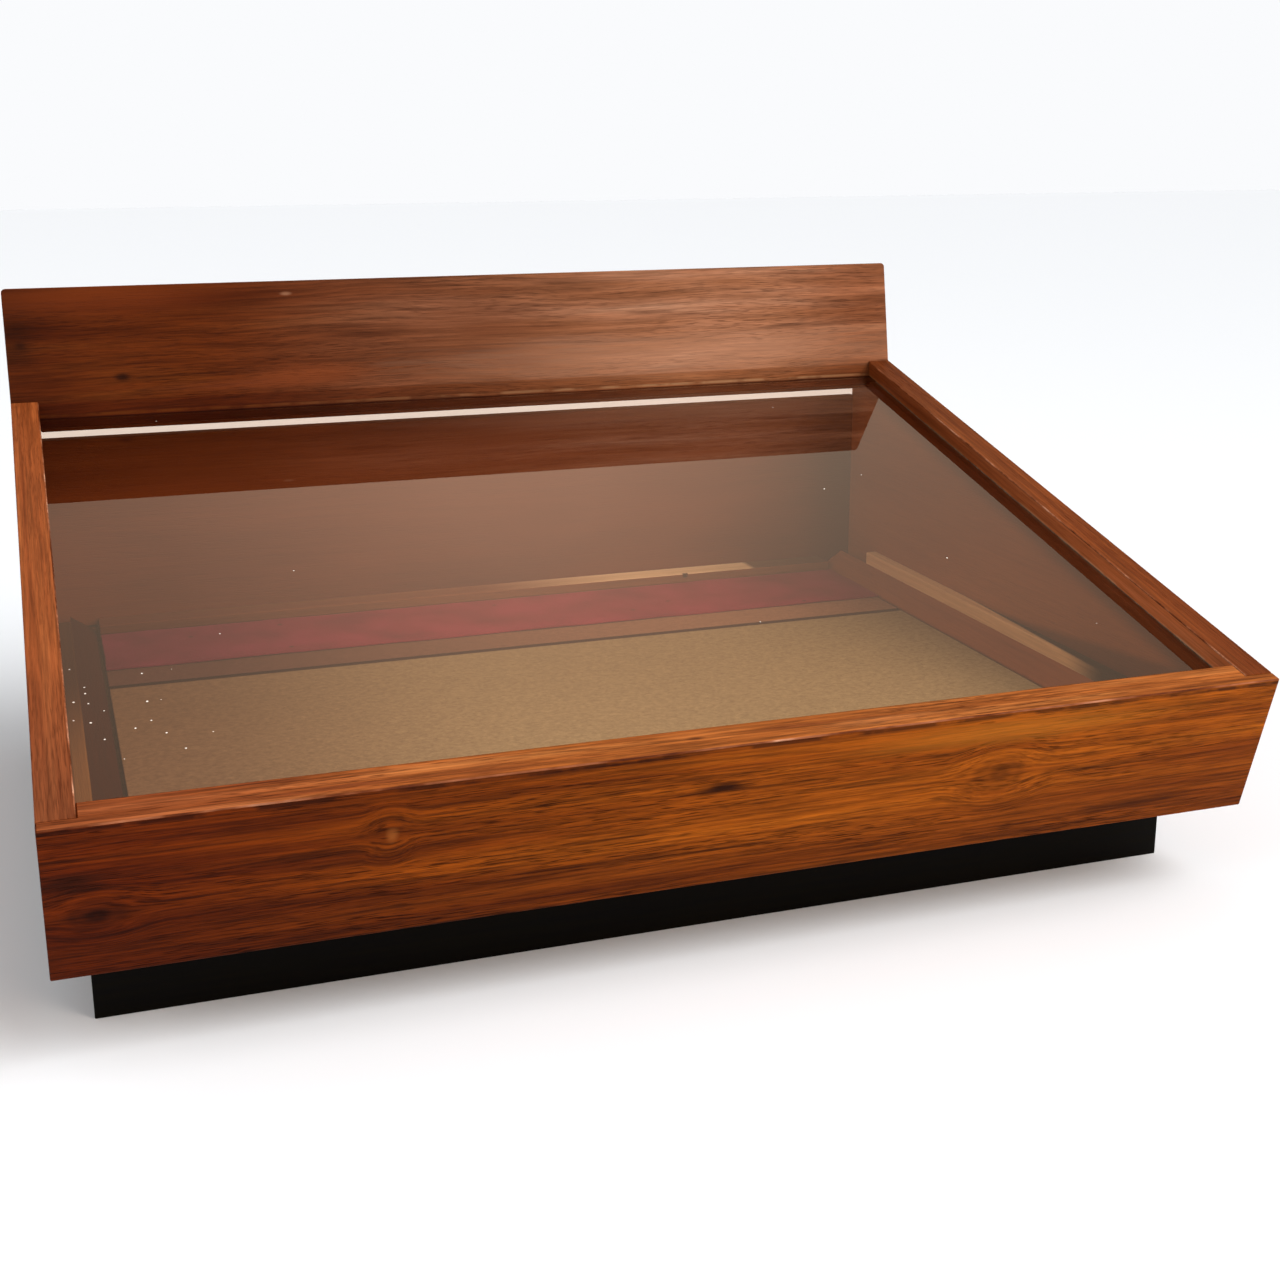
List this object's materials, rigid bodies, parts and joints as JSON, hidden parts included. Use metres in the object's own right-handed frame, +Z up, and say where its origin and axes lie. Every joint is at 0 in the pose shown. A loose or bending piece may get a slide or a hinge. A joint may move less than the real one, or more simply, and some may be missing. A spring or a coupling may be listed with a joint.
{
  "type": "pen display case",
  "caption": "Counter display case with a sloping glass top, a leaning header board, a drop-down rear door and a recessed black plinth.",
  "frame": {"origin": "middle of the box that holds the case, at table level", "axes": "+Z up, +X to the right as seen from the front, front towards -Y, rear door towards +Y"},
  "size_m": [0.46, 0.382, 0.2273],
  "materials": {
    "side_wood": "satin lacquer",
    "front_veneer": "satin lacquer",
    "header_veneer": "satin lacquer",
    "back_wood": "thin stain",
    "plywood": "raw",
    "raw_softwood": "raw",
    "hardboard": "raw",
    "felt": "felted",
    "glass": "clear",
    "black_paint": "satin paint",
    "brass": "tarnished",
    "steel": "zinc plated"
  },
  "bodies": {
    "case": {"side_left": "side_wood", "side_right": "side_wood", "front_board": "front_veneer", "header_board": "header_veneer", "top_rail": "back_wood", "bottom_rail": "back_wood", "bottom_panel": "plywood", "front_floor": "hardboard", "rear_floor": "hardboard", "batten_left": "raw_softwood", "batten_right": "raw_softwood", "bead_left": "back_wood", "bead_right": "back_wood", "felt_strip": "felt", "door_stop": "raw_softwood", "glass_pane": "glass", "plinth_front": "black_paint", "plinth_back": "black_paint", "plinth_left": "black_paint", "plinth_right": "black_paint", "plinth_blocks": "raw_softwood", "plinth_screws": "steel", "header_screws": "steel", "hinge_case_leaf_left": "brass", "hinge_case_leaf_right": "brass", "hinge_pin_left": "steel", "hinge_pin_right": "steel", "hinge_case_screws": "brass", "button_screw": "brass"},
    "door": {"rear_door": "back_wood", "door_knob": "brass", "hinge_door_leaf_left": "brass", "hinge_door_leaf_right": "brass", "hinge_door_screws": "brass"},
    "button": {"turn_button": "brass"}
  },
  "joints": [
    {"name": "door_hinge", "type": "hinge", "parent": "case", "child": "door", "pos_m": [0, 0.1775, 0.0572], "axis": [-1, 0, 0], "range_deg": [0, 120]},
    {"name": "button_turn", "type": "hinge", "parent": "case", "child": "button", "pos_m": [0, 0.1765, 0.16677], "axis": [0, 1, 0], "continuous": true}
  ]
}
